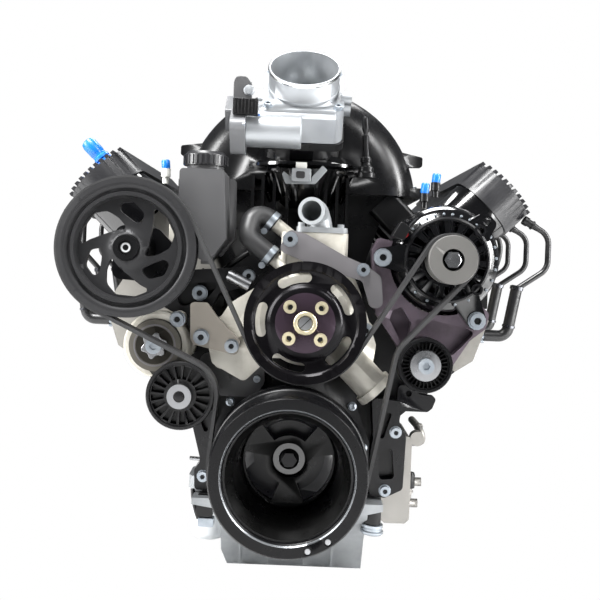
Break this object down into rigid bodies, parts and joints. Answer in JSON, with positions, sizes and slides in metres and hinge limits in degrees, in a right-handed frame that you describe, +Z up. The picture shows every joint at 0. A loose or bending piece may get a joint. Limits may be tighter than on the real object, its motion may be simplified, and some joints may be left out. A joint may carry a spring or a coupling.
{
  "type": "v8 engine",
  "caption": "Dressed V8 piston engine with belt-driven accessories, finned coil covers and an electronic throttle body.",
  "frame": {"origin": "mouth of the pilot bore in the crankshaft's rear flange, on the crankshaft axis", "axes": "+Z up along the line between the banks, +Y along the crankshaft toward the gearbox, +X to the right seen from the front"},
  "size_m": [0.698, 0.7, 0.7161],
  "materials": {
    "mat_1": "black enamel over casting",
    "mat_2": "machined iron",
    "mat_3": "as cast",
    "mat_4": "as cast, pale",
    "mat_5": "gloss black",
    "mat_6": "satin black",
    "mat_7": "moulded",
    "mat_8": "machined",
    "mat_9": "moulded",
    "mat_10": "zinc plated",
    "mat_11": "moulded",
    "mat_12": "satin grey",
    "mat_13": "purple-grey anodised",
    "mat_14": "white enamel",
    "mat_15": "moulded",
    "mat_16": "blue anodised",
    "mat_17": "purple-black anodised"
  },
  "bodies": {
    "engine": {"engine_block": "mat_1", "main_bearing_caps": "mat_2", "oil_pan": "mat_3", "timing_cover": "mat_4", "rear_cover": "mat_3", "cylinder_head_right": "mat_4", "cylinder_head_left": "mat_4", "valve_cover_right": "mat_5", "valve_cover_left": "mat_5", "coil_cover_right": "mat_6", "coil_cover_left": "mat_6", "intake_manifold": "mat_7", "throttle_body": "mat_8", "throttle_gear_case": "mat_9", "timing_chain": "mat_10", "serpentine_belt": "mat_11", "water_pump_housing": "mat_4", "coolant_outlet": "mat_4", "front_plate": "mat_12", "alternator_bracket": "mat_13", "steering_bracket": "mat_6", "accessory_bracket": "mat_6", "tensioner_bracket": "mat_6", "oil_filter": "mat_14", "sensor_cover": "mat_15", "alternator_case": "mat_5", "tensioner_base": "mat_3", "steering_pump": "mat_5", "steering_reservoir": "mat_15", "heater_hose": "mat_11", "plug_leads": "mat_11", "oil_cooler": "mat_8", "filler_and_caps": "mat_16", "steel_hardware": "mat_10"},
    "crank": {"crankshaft": "mat_2", "crank_bolt": "mat_10", "balancer_hub": "mat_1", "balancer_rubber": "mat_11", "balancer_ring": "mat_1"},
    "cam": {"camshaft": "mat_2", "cam_sprocket": "mat_10"},
    "water_pump": {"water_pump_shaft": "mat_10", "water_pump_pulley": "mat_17", "water_pump_screws": "mat_10"},
    "alternator": {"alternator_rotor": "mat_8", "alternator_pulley": "mat_10"},
    "steering": {"steering_pulley": "mat_12"},
    "idler": {"idler_pulley": "mat_9"},
    "arm": {"tensioner_arm": "mat_12"},
    "tension_wheel": {"tensioner_pulley": "mat_9"},
    "throttle": {"throttle_plate": "mat_10"},
    "cap": {"reservoir_cap": "mat_9"},
    "piston_1": {"piston_1": "mat_3"},
    "piston_2": {"piston_2": "mat_3"},
    "piston_3": {"piston_3": "mat_3"},
    "piston_4": {"piston_4": "mat_3"},
    "piston_5": {"piston_5": "mat_3"},
    "piston_6": {"piston_6": "mat_3"},
    "piston_7": {"piston_7": "mat_3"},
    "piston_8": {"piston_8": "mat_3"}
  },
  "joints": [
    {"name": "crank_spin", "type": "hinge", "parent": "engine", "child": "crank", "pos_m": [0, -0.3, 0], "axis": [0, 1, 0], "continuous": true},
    {"name": "cam_spin", "type": "hinge", "parent": "engine", "child": "cam", "pos_m": [0, -0.3, 0.1248], "axis": [0, 1, 0], "continuous": true},
    {"name": "water_pump_spin", "type": "hinge", "parent": "engine", "child": "water_pump", "pos_m": [0.0135, -0.6, 0.1785], "axis": [0, 1, 0], "continuous": true},
    {"name": "alternator_spin", "type": "hinge", "parent": "engine", "child": "alternator", "pos_m": [0.1905, -0.6, 0.2627], "axis": [0, 1, 0], "continuous": true},
    {"name": "steering_spin", "type": "hinge", "parent": "engine", "child": "steering", "pos_m": [-0.2095, -0.6, 0.262], "axis": [0, 1, 0], "continuous": true},
    {"name": "idler_spin", "type": "hinge", "parent": "engine", "child": "idler", "pos_m": [0.1626, -0.638, 0.132], "axis": [0, 1, 0], "continuous": true},
    {"name": "tensioner_swing", "type": "hinge", "parent": "engine", "child": "arm", "pos_m": [-0.177, -0.6, 0.139], "axis": [0, 1, 0], "range_deg": [0, 14], "stiffness_Nm_per_rad": 20, "springref_deg": -20.05},
    {"name": "tensioner_spin", "type": "hinge", "parent": "arm", "child": "tension_wheel", "pos_m": [-0.1365, -0.638, 0.083], "axis": [0, 1, 0], "continuous": true},
    {"name": "throttle_open", "type": "hinge", "parent": "engine", "child": "throttle", "pos_m": [0, -0.53289, 0.46806], "axis": [1, 0, 0], "range_deg": [0, 80], "stiffness_Nm_per_rad": 0.06, "springref_deg": -17.19},
    {"name": "reservoir_cap_turn", "type": "hinge", "parent": "engine", "child": "cap", "pos_m": [-0.124, -0.582, 0.38], "axis": [0, 0, 1], "range_deg": [0, 90]},
    {"name": "piston_1_slide", "type": "slide", "parent": "engine", "child": "piston_1", "axis": [0.7071, 0, 0.7071], "range_m": [-0.046, 0.046]},
    {"name": "piston_2_slide", "type": "slide", "parent": "engine", "child": "piston_2", "axis": [0.7071, 0, 0.7071], "range_m": [-0.046, 0.046]},
    {"name": "piston_3_slide", "type": "slide", "parent": "engine", "child": "piston_3", "axis": [0.7071, 0, 0.7071], "range_m": [-0.046, 0.046]},
    {"name": "piston_4_slide", "type": "slide", "parent": "engine", "child": "piston_4", "axis": [0.7071, 0, 0.7071], "range_m": [-0.046, 0.046]},
    {"name": "piston_5_slide", "type": "slide", "parent": "engine", "child": "piston_5", "axis": [-0.7071, 0, 0.7071], "range_m": [-0.046, 0.046]},
    {"name": "piston_6_slide", "type": "slide", "parent": "engine", "child": "piston_6", "axis": [-0.7071, 0, 0.7071], "range_m": [-0.046, 0.046]},
    {"name": "piston_7_slide", "type": "slide", "parent": "engine", "child": "piston_7", "axis": [-0.7071, 0, 0.7071], "range_m": [-0.046, 0.046]},
    {"name": "piston_8_slide", "type": "slide", "parent": "engine", "child": "piston_8", "axis": [-0.7071, 0, 0.7071], "range_m": [-0.046, 0.046]}
  ],
  "couplings": [
    {"joint": "cam_spin", "follows": "crank_spin", "ratio": 0.5},
    {"joint": "water_pump_spin", "follows": "crank_spin", "ratio": -1.3486},
    {"joint": "alternator_spin", "follows": "crank_spin", "ratio": 3.1118},
    {"joint": "steering_spin", "follows": "crank_spin", "ratio": 1.1425},
    {"joint": "idler_spin", "follows": "crank_spin", "ratio": -2.8385},
    {"joint": "tensioner_spin", "follows": "crank_spin", "ratio": -2.3141}
  ]
}
